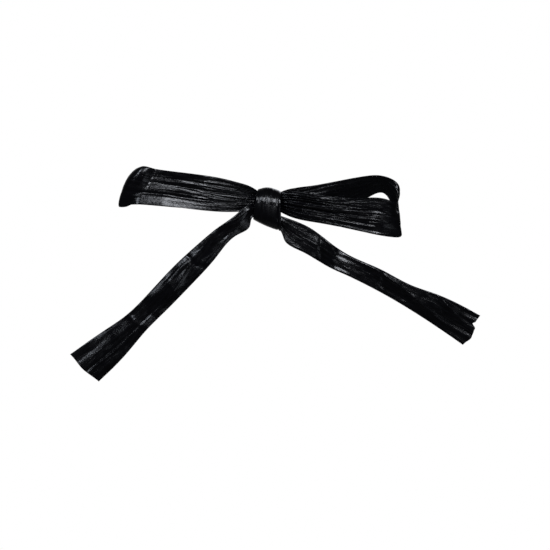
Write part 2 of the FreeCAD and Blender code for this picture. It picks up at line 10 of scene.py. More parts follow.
import bmesh
import bpy
import numpy as np
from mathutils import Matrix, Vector


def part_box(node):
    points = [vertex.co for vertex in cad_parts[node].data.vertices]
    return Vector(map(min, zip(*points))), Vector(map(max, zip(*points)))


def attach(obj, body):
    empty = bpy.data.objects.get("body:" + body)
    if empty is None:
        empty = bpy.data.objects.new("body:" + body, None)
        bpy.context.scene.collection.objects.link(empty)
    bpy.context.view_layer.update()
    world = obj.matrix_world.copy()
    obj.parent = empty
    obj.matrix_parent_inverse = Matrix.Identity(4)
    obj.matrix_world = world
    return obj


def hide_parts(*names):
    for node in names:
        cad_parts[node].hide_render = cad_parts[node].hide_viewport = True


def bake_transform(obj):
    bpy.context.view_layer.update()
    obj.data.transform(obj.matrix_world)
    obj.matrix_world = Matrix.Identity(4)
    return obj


MM = 0.001
CUT_HALF = 10.0  # half the width that the ribbon was cut to
RIBBON_GAUGE = 0.24  # how thick the ribbon is
RIBBON_ROWS, RIBBON_COLUMNS = 430, 108
NOISE_TABLE = 256  # how many bumps lie along the noise before it repeats
UV_NAME = "cloth"

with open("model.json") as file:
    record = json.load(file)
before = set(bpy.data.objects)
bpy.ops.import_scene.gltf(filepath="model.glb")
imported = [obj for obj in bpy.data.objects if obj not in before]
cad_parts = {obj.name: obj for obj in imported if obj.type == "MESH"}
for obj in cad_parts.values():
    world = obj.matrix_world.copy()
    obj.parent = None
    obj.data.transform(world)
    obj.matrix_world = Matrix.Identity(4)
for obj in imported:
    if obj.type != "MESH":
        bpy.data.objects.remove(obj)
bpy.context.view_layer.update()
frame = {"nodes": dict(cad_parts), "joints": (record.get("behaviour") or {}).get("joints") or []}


# ---------------------------------------- numbers along a ribbon


def spline(knots, values, places):
    """A natural cubic spline through values at the knots, read at the places."""
    knots, values = np.asarray(knots, float), np.asarray(values, float)
    flat = values.ndim == 1
    if flat:
        values = values[:, None]
    step = np.diff(knots)
    count = len(knots)
    system = np.eye(count)
    right = np.zeros_like(values)
    for i in range(1, count - 1):
        system[i, i - 1 : i + 2] = step[i - 1], 2 * (step[i - 1] + step[i]), step[i]
        slopes = np.diff(values[i - 1 : i + 2], axis=0) / step[i - 1 : i + 1, None]
        right[i] = 6 * (slopes[1] - slopes[0])
    bend = np.linalg.solve(system, right)
    k = np.clip(np.searchsorted(knots, places, side="right") - 1, 0, count - 2)
    gap = step[k][:, None]
    after = (places - knots[k])[:, None]
    before = gap - after
    found = (
        (bend[k] * before**3 + bend[k + 1] * after**3) / (6 * gap)
        + (values[k] / gap - bend[k] * gap / 6) * before
        + (values[k + 1] / gap - bend[k + 1] * gap / 6) * after
    )
    return found[:, 0] if flat else found


def profile(points, places):
    """Numbers that change smoothly between (place, number) points, with no overshoot."""
    knots, values = zip(*points)
    k = np.clip(np.searchsorted(knots, places, side="right") - 1, 0, len(knots) - 2)
    knots, values = np.array(knots, float), np.array(values, float)
    share = np.clip((places - knots[k]) / (knots[k + 1] - knots[k]), 0, 1)
    return values[k] + (values[k + 1] - values[k]) * share * share * (3 - 2 * share)


def noise(a, b, seed):
    """Smooth noise from -1 to 1 with one bump per unit of a and of b."""
    table = np.random.default_rng(seed).uniform(-1, 1, (NOISE_TABLE, NOISE_TABLE))
    i, j = np.floor(a).astype(int), np.floor(b).astype(int)
    s, t = a - i, b - j
    s, t = s**3 * (s * (6 * s - 15) + 10), t**3 * (t * (6 * t - 15) + 10)
    i, j, k, m = i % NOISE_TABLE, j % NOISE_TABLE, (i + 1) % NOISE_TABLE, (j + 1) % NOISE_TABLE
    low = table[i, j] * (1 - s) + table[k, j] * s
    high = table[i, m] * (1 - s) + table[k, m] * s
    return low * (1 - t) + high * t


CREST_SOFTNESS = 0.004  # 0 gives ridges a sharp edge
# the layers of the crinkles and crumples: (length along, length across, height) in millimetres
DRIFT = (17, 6, 1.3)
WIDE, FINE, HAIR, BREAKS = (22, 2.4, 0.32), (11, 1.3, 0.11), (7, 0.55, 0.02), (3.6, 1.6, 0.08)
FOLDS, SWELLS = (11, 7, 0.45), (15, 8, 0.55)
FOLD_SLANT = 0.35  # how far a crumple's folds lie across the ribbon for each way along it


def ridges(a, b, seed):
    """Noise with sharp crests, for creases."""
    return 1 - 2 * np.sqrt(noise(a, b, seed) ** 2 + CREST_SOFTNESS)


def layer(pattern, along, across, size, seed):
    """One layer of noise or ridges, at places in millimetres."""
    long, wide, height = size
    return height * pattern(along / long, across / wide, seed)


def crinkle(along, across, seed):
    """The height of the ribbon's lengthwise crinkles."""
    drifted = across + layer(noise, along, across, DRIFT, seed)
    return (
        layer(noise, along, drifted, WIDE, seed + 1)
        + layer(ridges, along, drifted, FINE, seed + 2)
        + layer(noise, along, drifted, HAIR, seed + 3)
        + layer(noise, along, across, BREAKS, seed + 4)
    )


def crumple(along, across, seed):
    """The height of the flat patches and soft folds left by handling, from -1 to 1."""
    slanted = across + FOLD_SLANT * along
    folds = layer(ridges, slanted, across, FOLDS, seed + 5)
    return folds + layer(noise, along, across, SWELLS, seed + 6)


# ---------------------------------------- places on the CAD part


def cad_box(node):
    """A CAD node's low and high corners, in millimetres."""
    return (np.array(corner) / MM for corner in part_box(node))


def joint_place(name):
    """Where a joint is, in millimetres."""
    return np.array(next(j["pos_m"] for j in frame["joints"] if j["name"] == name)) / MM


# ---------------------------------------- meshes

TUBE_SIDE = (0.3, 0.5, 0.8)  # a direction that no tube's path starts in


def new_object(name, vertices, faces, uvs=None):
    """A smooth-shaded mesh object. Vertices are in millimetres, and uvs has one pair for each."""
    mesh = bpy.data.meshes.new(name)
    faces = faces.tolist() if isinstance(faces, np.ndarray) else faces
    mesh.from_pydata((np.asarray(vertices) * MM).tolist(), [], faces)
    if uvs is not None:
        uv_layer = mesh.uv_layers.new(name=UV_NAME)
        corners = np.zeros(len(mesh.loops), np.int32)
        mesh.loops.foreach_get("vertex_index", corners)
        uv_layer.data.foreach_set("uv", np.asarray(uvs, np.float32)[corners].ravel())
    mesh.polygons.foreach_set("use_smooth", [True] * len(mesh.polygons))
    piece = bpy.data.objects.new(name, mesh)
    bpy.context.scene.collection.objects.link(piece)
    return piece


def grid_normals(points):
    """Unit normals of a grid of points, along its rows crossed with across its columns."""
    rows = np.gradient(points, axis=0)
    cols = np.gradient(points, axis=1)
    normals = np.cross(rows, cols)
    return normals / np.maximum(np.linalg.norm(normals, axis=2, keepdims=True), 1e-9)


def cloth_mesh(name, points, gauge, uvs):
    """A closed sheet of that gauge around a grid of points, with a rim round its four edges."""
    rows, cols, _ = points.shape
    lift = grid_normals(points) * gauge / 2
    layers = np.concatenate([(points + lift).reshape(-1, 3), (points - lift).reshape(-1, 3)])
    index = np.arange(rows * cols).reshape(rows, cols)
    a, b, c, d = index[:-1, :-1], index[1:, :-1], index[1:, 1:], index[:-1, 1:]
    top = np.stack([a, b, c, d], axis=2).reshape(-1, 4)
    rim = np.concatenate([index[0, :], index[1:, -1], index[-1, -2::-1], index[-2:0:-1, 0]])
    after = np.roll(rim, -1)
    under = rows * cols
    sides = np.stack([rim, rim + under, after + under, after], axis=1)
    faces = np.concatenate([top, top[:, ::-1] + under, sides[:, ::-1]])
    return new_object(name, layers, faces, np.concatenate([uvs, uvs]))


def ring_faces(index):
    """Four-sided faces between rings of points, from a table with a row for each ring."""
    beside = np.roll(index, -1, axis=1)
    return np.stack([index[:-1], beside[:-1], beside[1:], index[1:]], axis=2).reshape(-1, 4)


def capped_faces(rows, sides):
    """Faces of a tube of rings whose two ends' middles come after the rings' own points."""
    index = np.arange(rows * sides).reshape(rows, sides)
    beside = np.roll(index, -1, axis=1)
    faces = ring_faces(index).tolist()
    for j in range(sides):
        faces.append([rows * sides, int(beside[0, j]), int(index[0, j])])
        faces.append([rows * sides + 1, int(index[-1, j]), int(beside[-1, j])])
    return faces


def tube_mesh(name, path, radius, sides):
    """A closed round tube along a path."""
    ahead = np.gradient(path, axis=0)
    ahead /= np.linalg.norm(ahead, axis=1, keepdims=True)
    turn = np.arange(sides) * 2 * math.pi / sides
    side = np.cross(ahead[0], TUBE_SIDE)
    rings = []
    for point, forward in zip(path, ahead):
        side = side - forward * (side @ forward)
        side /= np.linalg.norm(side)
        other = np.cross(forward, side)
        spokes = np.outer(np.cos(turn), side) + np.outer(np.sin(turn), other)
        rings.append(point + radius * spokes)
    vertices = np.concatenate(rings + [path[:1], path[-1:]])
    return new_object(name, vertices, capped_faces(len(path), sides))


# ---------------------------------------- materials


def new_material(name, **sockets):
    """A Principled material with those values on the shader's own sockets."""
    material = bpy.data.materials.new(name)
    material.use_nodes = True
    shader = material.node_tree.nodes["Principled BSDF"]
    for socket, value in sockets.items():
        shader.inputs[socket.replace("_", " ")].default_value = value
    return material, material.node_tree, shader


def add_node(tree, kind, inputs=(), **settings):
    """A node with its settings, and its inputs set to values or linked to other sockets."""
    node = tree.nodes.new(kind)
    for key, value in settings.items():
        setattr(node, key, value)
    for key, value in dict(inputs).items():
        if isinstance(value, bpy.types.NodeSocket):
            tree.links.new(value, node.inputs[key])
        else:
            node.inputs[key].default_value = value
    return node


def noise_texture(tree, source, scale, detail=4.0, rough=0.6):
    """Noise on coordinates, with a scale for each axis."""
    stretched = add_node(tree, "ShaderNodeMapping", {"Vector": source, "Scale": scale}).outputs[0]
    inputs = {"Vector": stretched, "Scale": 1.0, "Detail": detail, "Roughness": rough}
    return add_node(tree, "ShaderNodeTexNoise", inputs).outputs[0]


def wave_texture(tree, source, scale, axis, distort=0.0):
    """Even bands across one axis, scale of them per unit."""
    inputs = {"Vector": source, "Scale": scale * math.pi / 10, "Distortion": distort}
    inputs["Detail Scale"] = 1.5
    return add_node(tree, "ShaderNodeTexWave", inputs, bands_direction=axis).outputs["Fac"]


def ramp(tree, factor, low, high, places=(0.0, 1.0)):
    """A ramp between two greys or colours."""
    node = add_node(tree, "ShaderNodeValToRGB", {"Fac": factor})
    for element, place, colour in zip(node.color_ramp.elements, places, (low, high)):
        element.position = place
        element.color = (*colour, 1) if isinstance(colour, tuple) else (colour,) * 3 + (1,)
    return node.outputs[0]


def bump(tree, height, strength, distance, under=None):
    """A bump whose distance is in metres, on top of another one if there is one under it."""
    inputs = {"Height": height, "Strength": strength, "Distance": distance}
    if under is not None:
        inputs["Normal"] = under
    return add_node(tree, "ShaderNodeBump", inputs).outputs[0]


def link(shader, **sockets):
    """Links the outputs given to the shader's inputs of those names."""
    for name, source in sockets.items():
        shader.id_data.links.new(source, shader.inputs[name.replace("_", " ")])


def cloth_place(tree):
    """The place along and across the cloth, in millimetres."""
    return add_node(tree, "ShaderNodeUVMap", uv_map=UV_NAME).outputs[0]


def object_place(tree):
    """The place on the object, in millimetres."""
    place = add_node(tree, "ShaderNodeTexCoord").outputs["Object"]
    inputs = {"Vector": place, "Scale": (1 / MM,) * 3}
    return add_node(tree, "ShaderNodeMapping", inputs).outputs[0]


def ribbon_material():
    """Black crinkled satin: lengthwise fibres, small breaks, and gloss that changes in streaks."""
    material, tree, shader = new_material("crinkled_satin", Specular_IOR_Level=0.62)
    place = cloth_place(tree)
    streak = noise_texture(tree, place, (0.16, 2.2, 1), 5, 0.65)
    fibre = noise_texture(tree, place, (0.5, 7.0, 1), 3)
    patch = noise_texture(tree, place, (0.22, 0.5, 1), 4)
    fleck = noise_texture(tree, place, (0.7, 1.9, 1), 3)
    dark, light = (0.0012, 0.0012, 0.0016), (0.006, 0.006, 0.009)
    link(
        shader,
        Base_Color=ramp(tree, streak, dark, light, (0.35, 0.75)),
        Roughness=ramp(tree, patch, 0.15, 0.29, (0.36, 0.64)),
        Normal=bump(tree, fibre, 0.25, 0.00008, bump(tree, fleck, 0.5, 0.00016)),
    )
    return material


def grosgrain_material():
    """Black ribbed ribbon, duller than the satin."""
    material, tree, shader = new_material(
        "grosgrain", Specular_IOR_Level=0.45, Sheen_Weight=0.15, Sheen_Roughness=0.5
    )
    place = cloth_place(tree)
    thread = wave_texture(tree, place, 5.0, "Y", 0.6)
    wear = noise_texture(tree, place, (0.3, 0.5, 1))
    link(
        shader,
        Base_Color=ramp(tree, wear, (0.006, 0.006, 0.007), (0.018, 0.018, 0.02), (0.3, 0.7)),
        Roughness=ramp(tree, wear, 0.5, 0.7, (0.3, 0.7)),
        Normal=bump(tree, thread, 0.5, 0.00006),
    )
    return material


def thread_material():
    """Black sewing thread with a little fuzz."""
    material, tree, shader = new_material("black_thread", Specular_IOR_Level=0.5, Sheen_Weight=0.2)
    place = object_place(tree)
    fuzz = noise_texture(tree, place, (6, 6, 6), 4)
    link(
        shader,
        Base_Color=ramp(tree, fuzz, (0.006, 0.006, 0.007), (0.03, 0.03, 0.033), (0.3, 0.7)),
        Roughness=ramp(tree, fuzz, 0.4, 0.65),
        Normal=bump(tree, fuzz, 0.5, 0.00008),
    )
    return material


def glue_material():
    """Set hot glue: milky, a little yellow, with small bubbles."""
    material, tree, shader = new_material(
        "hot_glue", Subsurface_Weight=0.4, Subsurface_Scale=0.002, IOR=1.48, Coat_Weight=0.2
    )
    place = object_place(tree)
    cloud = noise_texture(tree, place, (0.5, 0.5, 0.5), 5)
    bubbles = add_node(tree, "ShaderNodeTexVoronoi", {"Vector": place, "Scale": 1.6}).outputs[0]
    link(
        shader,
        Base_Color=ramp(tree, cloud, (0.62, 0.58, 0.48), (0.8, 0.78, 0.7), (0.3, 0.7)),
        Roughness=ramp(tree, cloud, 0.22, 0.4, (0.3, 0.7)),
        Normal=bump(tree, bubbles, 0.3, 0.0001, bump(tree, cloud, 0.5, 0.0003)),
    )
    return material


def metal_material(name, colour, roughness, grain):
    """Plated steel with fine drawn lines, faint stains and hairline scratches.

    grain is the scale of the lines for each axis, per millimetre.
    """
    material, tree, shader = new_material(name, Metallic=1.0)
    place = object_place(tree)
    lines = noise_texture(tree, place, grain, 3)
    stain = noise_texture(tree, place, (0.12, 0.2, 0.2), 6, 0.55)
    scratch = noise_texture(tree, place, (0.5, 11.0, 0.35), 2, 0.8)
    dark = tuple(0.82 * c for c in colour)
    link(
        shader,
        Base_Color=ramp(tree, stain, dark, colour, (0.3, 0.55)),
        Roughness=ramp(tree, lines, roughness * 0.85, roughness * 1.3, (0.3, 0.7)),
        Normal=bump(tree, scratch, 0.05, 0.00002, bump(tree, lines, 0.06, 0.00002)),
    )
    return material


# ---------------------------------------- ribbons

PLEAT_WANDER = 0.18  # how far the pleats stray, as a share of half the ribbon's width
OVERTONE, OVERTONE_PITCH, OVERTONE_START = 0.35, 2.3, 1.1  # small pleats between the large ones
KINK_WANDER = 1.3  # how far a kink's line strays along the ribbon
KINK_LEVEL, KINK_CHANGE = 0.6, 0.5  # how strong a kink is, and how much that changes along it
CREASE_SOFT = 0.12  # the share of a crease's length in which it fades at each end
UNDER_CALM = 0.7  # how much less a turned-under edge and what is folded behind it moves
ARCH_SHAPE = 0.6  # below 1 makes an arch flatter on top and steeper at its edges
TRIM_FROM, TRIM_REACH = 0.85, 0.15  # the shares of a ribbon that the shape of its cut end moves


def section(share, half, back, radius):
    """A ribbon's cross-section: how far across and how far behind its places from -1 to 1 lie.

    It shows flat for half each way, and the rest of its width, back, is turned under each edge.
    """
    half, back, radius = (np.asarray(x, float)[:, None] for x in (half, back, radius))
    turn = np.minimum(np.pi, back / radius)
    flat = half - radius * np.sin(np.minimum(turn, np.pi / 2))
    arc = radius * turn
    total = flat + arc + np.maximum(0, back - np.pi * radius)
    place = np.abs(share)[None, :] * total
    angle = np.clip((place - flat) / radius, 0, turn)
    rest = np.maximum(0, place - flat - arc)
    across = np.minimum(place, flat) + radius * np.sin(angle) - rest
    behind = radius * (1 - np.cos(angle))
    return across * np.sign(share)[None, :], behind


def crease(place, v, start, end, across_at, width, rise):
    """A lengthwise ridge, or a valley if rise is negative, that starts and ends softly."""
    middle = across_at[0] + (across_at[1] - across_at[0]) * (place - start) / (end - start)
    soft = CREASE_SOFT * (end - start)
    reach = 1 / (1 + np.exp(-(place - start) / soft)) - 1 / (1 + np.exp(-(place - end) / soft))
    return rise * reach * np.exp(-(((v - middle) / width) ** 2))


def relief(spec, u, v, place, length):
    """How far a ribbon's pleats, crinkles, creases and kinks stand out at each of its places."""
    seed = spec["seed"]
    phase = spec["pleats"] * np.pi * (v + PLEAT_WANDER * noise(u / 30, v * 2.5, seed + 11))
    wave = np.sin(phase) + OVERTONE * np.sin(OVERTONE_PITCH * phase + OVERTONE_START)
    height = profile(spec["pleat_depth"], place) * wave
    height += profile(spec["crinkle"], place) * crinkle(u, v * CUT_HALF, seed)
    for patch in spec["calm"]:
        height *= 1 - crease(place, v, *patch)
    height += profile(spec["crumple"], place) * crumple(u, v * CUT_HALF, seed)
    for line in spec["creases"]:
        height += crease(place, v, *line)
    for at, skew, width, rise in spec["kinks"]:
        middle = at * length + skew * v + KINK_WANDER * noise(u / 9, v * 2, seed + 12)
        strength = KINK_LEVEL + KINK_CHANGE * noise(u / 9, v * 2, seed + 13)
        height += rise * np.exp(-(((u - middle) / width) ** 2)) * strength
    return height


def ribbon_grid(spec):
    """A ribbon's points, UVs and length, from its stations, profiles, creases and kinks."""
    uppers = np.array([upper for upper, _ in spec["stations"]], float)
    lowers = np.array([lower for _, lower in spec["stations"]], float)
    centres = (uppers + lowers) / 2
    knots = np.concatenate([[0], np.cumsum(np.linalg.norm(np.diff(centres, axis=0), axis=1))])
    length = knots[-1]
    along = np.linspace(0, length, RIBBON_ROWS)
    share = np.linspace(-1, 1, RIBBON_COLUMNS)
    upper, lower = spline(knots, uppers, along), spline(knots, lowers, along)
    centre = (upper + lower) / 2
    span = (upper - lower) / 2
    half = np.linalg.norm(span, axis=1)
    side = span / half[:, None]
    ahead = np.gradient(centre, axis=0)
    ahead /= np.linalg.norm(ahead, axis=1, keepdims=True)
    out = np.cross(ahead, side) * spec["facing"]
    out /= np.linalg.norm(out, axis=1, keepdims=True)

    radius = spec["turn_radius"]
    back = np.maximum(0, CUT_HALF - half) * profile(spec["turned_under"], along / length)
    across, behind = section(share, half, back, np.full_like(half, radius))
    u = np.broadcast_to(along[:, None], across.shape)
    v = np.broadcast_to(share[None, :], across.shape)
    place = u / length
    free = 1 - UNDER_CALM * np.clip(behind / (2 * radius), 0, 1)
    height = relief(spec, u, v, place, length) * free
    height += profile(spec["tilt"], place) * across / half[:, None]
    height += profile(spec["arch"], place) * (1 - v * v) ** ARCH_SHAPE * (1 + spec["arch_skew"] * v)
    points = (
        centre[:, None, :]
        + side[:, None, :] * across[:, :, None]
        + out[:, None, :] * (height - behind)[:, :, None]
    )
    trim = profile(spec["cut_end"], v.ravel()).reshape(v.shape)
    pull = np.clip((place - TRIM_FROM) / TRIM_REACH, 0, 1)
    points += ahead[:, None, :] * (trim * pull)[:, :, None]
    uvs = np.stack([u, v * CUT_HALF], axis=2).reshape(-1, 2)
    return points, uvs, length


# Each ribbon's stations are (upper edge, lower edge) points, from inside the knot. A loop goes out
# along its back, round its fold, and in along its front. The lists of pairs are profiles:
# - along the ribbon, from 0 at its start to 1 at its end: "turned_under" is the share of the width
#   that doesn't show and is turned under, "pleat_depth", "tilt" and "arch" are in millimetres, and
#   "crinkle" and "crumple" scale those two patterns
# - across the ribbon, from -1 to 1: "cut_end" is how far the end is cut longer, in millimetres
# "facing" is the sign that makes a positive height stand out from the side that shows.
# A crease is (start, end, (across at start, across at end), width, rise), and a kink across the
# ribbon is (place, skew, width, rise). A calm patch is like a crease, and its last number is the
# share of the pleats and crinkles that it takes away.
PLAIN = {"arch_skew": 0.0, "calm": [], "creases": [], "kinks": []}
LOOP = {
    **PLAIN,
    "turned_under": [(0, 0), (1, 0)],
    "turn_radius": 0.5,
    "pleats": 7,
    "cut_end": [(-1, 0), (1, 0)],
}
TAIL = {**PLAIN, "turn_radius": 0.7, "pleats": 2}
LOOP_LEFT = {
    **LOOP,
    "stations": [
        ((-4.6, -4.6, 3.6), (-4.6, -4.6, -3.6)),
        ((-7.6, -4.9, 4.9), (-7.6, -4.9, -4.4)),
        ((-20, -4.9, 8.5), (-20, -4.9, -4.6)),
        ((-38, -4.8, 12.6), (-40, -4.6, -3.4)),
        ((-53, -5.6, 15.6), (-60, -5, -1.8)),
        ((-59, -7.4, 16.3), (-70.5, -6.6, -1.9)),
        ((-61.2, -10.2, 16.2), (-74, -10.2, -2.8)),
        ((-59.6, -13, 16.3), (-71, -13.8, -2.2)),
        ((-54, -14.8, 15.6), (-62, -15.4, -1.7)),
        ((-38, -14.4, 13.5), (-40, -14.6, -3.9)),
        ((-20, -11.4, 10.5), (-20, -12, -5.5)),
        ((-13.5, -10.2, 8.9), (-13.5, -10.6, -5.3)),
        ((-7.6, -8.8, 6.9), (-7.6, -8.8, -4.6)),
        ((-4.6, -8, 5), (-4.6, -8, -3.8)),
    ],
    "facing": 1,
    "pleat_depth": [
        (0, 0.5), (0.15, 0.35), (0.35, 0.12), (0.5, 0.02), (0.6, 0.03), (0.72, 0.06), (0.83, 0.22),
        (1, 0.45),
    ],
    "crumple": [(0, 0), (0.35, 0.3), (0.45, 0), (0.57, 0), (0.65, 0.5), (0.8, 0.5), (1, 0)],
    "crinkle": [
        (0, 0.8), (0.3, 1), (0.42, 0.15), (0.55, 0.08), (0.6, 0.3), (0.7, 0.4), (0.8, 0.7),
        (1, 0.9),
    ],
    "arch": [(0, 0), (0.41, 0), (0.5, 4.2), (0.58, 0), (1, 0)],
    "arch_skew": 0.35,
    "tilt": [
        (0, 0), (0.49, 0), (0.53, 2), (0.575, -0.6), (0.64, -0.4), (0.7, 0.4), (0.9, 0.6), (1, 0),
    ],
    "calm": [(0.55, 0.87, (-0.75, -0.8), 0.4, 0.85)],
    "creases": [
        (0.57, 0.88, (-0.36, -0.46), 0.1, -0.7),
        (0.57, 0.88, (-1.5, -1.5), 0.8, 1.6),
        (0.62, 0.95, (1.5, 1.5), 0.8, 1.4),
        (0.66, 0.96, (0.2, 0.1), 0.08, -0.7),
        (0.72, 0.98, (0.55, 0.4), 0.08, -0.6),
        (0.78, 1, (-0.2, -0.2), 0.08, -0.7),
    ],
    "seed": 3,
}
LOOP_RIGHT = {
    **LOOP,
    "stations": [
        ((4.6, -4.6, 3.6), (4.6, -4.6, -3.6)),
        ((7.6, -4.9, 5), (7.6, -4.9, -4.8)),
        ((20, -4.7, 7.5), (20, -5, -5.2)),
        ((36, -4.9, 10.3), (36, -4.8, -3.2)),
        ((49, -5.6, 12.6), (50, -5.4, 1.6)),
        ((57, -7.2, 12.9), (57.4, -7.4, 4.3)),
        ((63, -9.6, 10.9), (61.4, -10, -1)),
        ((66.6, -11.2, 4.6), (64.9, -11.6, -11)),
        ((64, -14.2, -0.8), (67, -13, -17.7)),
        ((60.5, -15.8, 0.2), (62, -15.4, -18.1)),
        ((46, -15.4, 1.3), (46, -15.6, -15.1)),
        ((25, -12.8, 3.2), (25, -13, -10.8)),
        ((7.6, -9.2, 4.4), (7.6, -9.2, -5.9)),
        ((4.6, -8, 3.6), (4.6, -8, -4)),
    ],
    "facing": -1,
    "pleat_depth": [
        (0, 0.5), (0.12, 0.15), (0.25, 0.05), (0.35, 0.03), (0.58, 0.03), (0.68, 0.1), (0.83, 0.38),
        (1, 0.5),
    ],
    "crumple": [(0, 0), (0.3, 0.3), (0.45, 0), (0.6, 0.2), (0.7, 0.5), (0.85, 0.4), (1, 0)],
    "crinkle": [
        (0, 0.8), (0.2, 0.3), (0.35, 0.16), (0.57, 0.12), (0.66, 0.7), (0.75, 1.1), (1, 1),
    ],
    "arch": [(0, 0), (1, 0)],
    "tilt": [
        (0, 0), (0.15, -1.6), (0.3, -2.4), (0.44, -2), (0.52, 0), (0.6, 0.8), (0.72, 0.4),
        (1, 0.2),
    ],
    "creases": [
        (0.46, 0.55, (0.52, 0.46), 0.3, -1.7),
        (0.68, 0.98, (-0.1, -0.05), 0.08, -0.7),
        (0.66, 0.96, (-0.5, -0.45), 0.08, -0.6),
        (0.7, 0.98, (0.35, 0.3), 0.08, -0.6),
    ],
    "seed": 31,
}
TAIL_LEFT = {
    **TAIL,
    "stations": [
        ((-4.6, -9.6, -2.6), (-5, -9.4, -6.6)),
        ((-8.6, -12.2, -1.6), (-7.4, -11.6, -8.8)),
        ((-14, -12.8, -5.6), (-8.8, -12, -13)),
        ((-22.5, -12, -12), (-15.7, -11.2, -17.4)),
        ((-34.5, -10, -21.6), (-25.9, -9.6, -28.5)),
        ((-46.5, -8.2, -32.5), (-37.8, -8.8, -41.6)),
        ((-58.5, -7.4, -45.3), (-49.8, -6.8, -53.8)),
        ((-70, -5.6, -56.6), (-60.8, -6.4, -64.9)),
        ((-80.5, -4.8, -64), (-69.8, -5.2, -75.5)),
        ((-98.3, -5.6, -76.3), (-84, -4.6, -90)),
    ],
    "facing": -1,
    "turned_under": [(0, 0.3), (0.15, 0.9), (0.75, 0.95), (0.9, 0.8), (1, 0)],
    "pleat_depth": [(0, 0.4), (0.08, 0.12), (0.3, 0.1), (0.75, 0.12), (1, 0.25)],
    "crumple": [(0, 0), (0.15, 0.8), (0.3, 1.4), (0.85, 1.4), (1, 0.6)],
    "crinkle": [(0, 0.8), (0.2, 0.5), (0.8, 0.4), (1, 0.45)],
    "arch": [(0, 0.3), (0.3, 1.6), (0.8, 1.3), (1, 0.1)],
    "tilt": [
        (0, 0), (0.06, 0.9), (0.12, 0.8), (0.2, -0.9), (0.3, -1.2), (0.5, -0.4), (0.68, -0.7),
        (0.85, -1.2), (1, -1),
    ],
    "kinks": [
        (0.36, 1, 1.6, -0.45), (0.5, -2, 1.8, 0.4), (0.64, -1.5, 2, -0.5),
        (0.71, 2, 1.8, 0.4),
    ],
    "cut_end": [(-1, 0.9), (0, 2), (1, 1)],
    "seed": 57,
}
TAIL_RIGHT = {
    **TAIL,
    "stations": [
        ((4.8, -8.6, -7), (4.6, -8.2, -11.2)),
        ((7.9, -9.6, -7.9), (7.2, -9, -15.7)),
        ((15, -9.2, -10.3), (9.4, -9.6, -20.3)),
        ((24.5, -8.2, -15.2), (18.4, -9, -25.5)),
        ((33.5, -8.2, -22.3), (29, -7.4, -31.9)),
        ((45, -7, -29), (40.6, -7.6, -37.3)),
        ((57.5, -6.6, -34.4), (53, -6, -43.5)),
        ((71.5, -5.6, -41.8), (66, -6, -50.6)),
        ((85.5, -5, -46.9), (79, -5.6, -58.6)),
        ((106.3, -5.8, -56.8), (98, -4.8, -71.8)),
    ],
    "facing": 1,
    "turned_under": [(0, 0.3), (0.15, 0.8), (0.75, 0.95), (0.9, 0.8), (1, 0)],
    "pleat_depth": [(0, 0.4), (0.06, 0.06), (0.4, 0.06), (0.75, 0.12), (1, 0.45)],
    "crumple": [(0, 0), (0.15, 0.35), (0.28, 0.5), (0.4, 1.4), (0.85, 1.4), (1, 0.6)],
    "crinkle": [(0, 0.6), (0.1, 0.4), (0.3, 0.45), (0.8, 0.45), (1, 0.55)],
    "arch": [(0, 0.3), (0.07, -0.8), (0.28, -0.8), (0.4, 0.5), (0.8, 0.9), (1, 0.1)],
    "tilt": [
        (0, 0), (0.1, 0.1), (0.2, -0.1), (0.25, 0.8), (0.32, 0.2), (0.38, 0.6), (0.46, 1),
        (0.85, 1.7), (1, 1.3),
    ],
    "creases": [(0.28, 0.44, (-1.4, -1.4), 0.8, 0.8)],
    "kinks": [
        (0.25, -4, 1.5, -0.8), (0.31, -6, 1.6, 0.6), (0.55, -3, 1.8, -0.3),
        (0.7, 4, 1.8, 0.35),
    ],
    "cut_end": [(-1, 0.8), (-0.4, 2.6), (0.2, 1.9), (0.38, -0.4), (0.55, 0.5), (1, 0.9)],
    "seed": 83,
}


def make_ribbon(name, spec, node):
    """One loop or tail, built from its stations."""
    points, uvs, length = ribbon_grid(spec)
    piece = cloth_mesh(name, points, RIBBON_GAUGE, uvs)
    piece.data.materials.append(SATIN)
    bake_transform(piece)
    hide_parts(node)


# ---------------------------------------- the knot

# The wrap's section as (-Y, Z) at three places along X: from the underside, up behind the clip's
# jaw, over the top, down the front and back to the underside.
KNOT_SECTIONS = {
    -7.0: [
        (6.2, -8.9), (3.2, -7.4), (1.2, -4.8), (1.05, 0.0), (1.3, 4.0), (3.6, 5.6),
        (6.8, 5.9), (9.7, 4.9), (12.1, 2.4), (12.9, -0.8), (12.3, -4.8), (9.8, -8.2),
    ],
    -1.5: [
        (6.2, -11.6), (3.0, -9.2), (1.1, -5.4), (1.0, 0.0), (1.3, 4.4), (3.8, 6.4),
        (6.9, 6.9), (10.0, 5.8), (12.5, 2.5), (13.4, -1.4), (13.2, -7.0), (10.4, -11.1),
    ],
    6.9: [
        (5.6, -14.4), (2.8, -11.0), (1.0, -5.6), (1.0, 0.0), (1.2, 3.9), (3.4, 4.7),
        (6.6, 5.0), (9.9, 4.0), (12.5, 1.3), (13.4, -2.8), (13.3, -9.4), (10.4, -14.3),
    ],
}
KNOT_ROWS, KNOT_COLUMNS = 300, 150
KNOT_ROUND = 46.0  # the way once round the wrap
KNOT_OVERLAP = 0.1  # how much of a turn the wrap's end covers its start
KNOT_STEP, KNOT_STEP_TURN = 0.42, 0.08  # how deep the start lies, and the turn it rises in
KNOT_LEAN = 2.3  # how far in the wrap's left edge is at KNOT_TOP from where it is at KNOT_FOOT
KNOT_TOP, KNOT_FOOT = 6.0, -8.0
KNOT_TURNED_UNDER, KNOT_TURN_RADIUS = 0.9, 0.45
KNOT_CALM = 0.6  # how much less the turned-under edges move
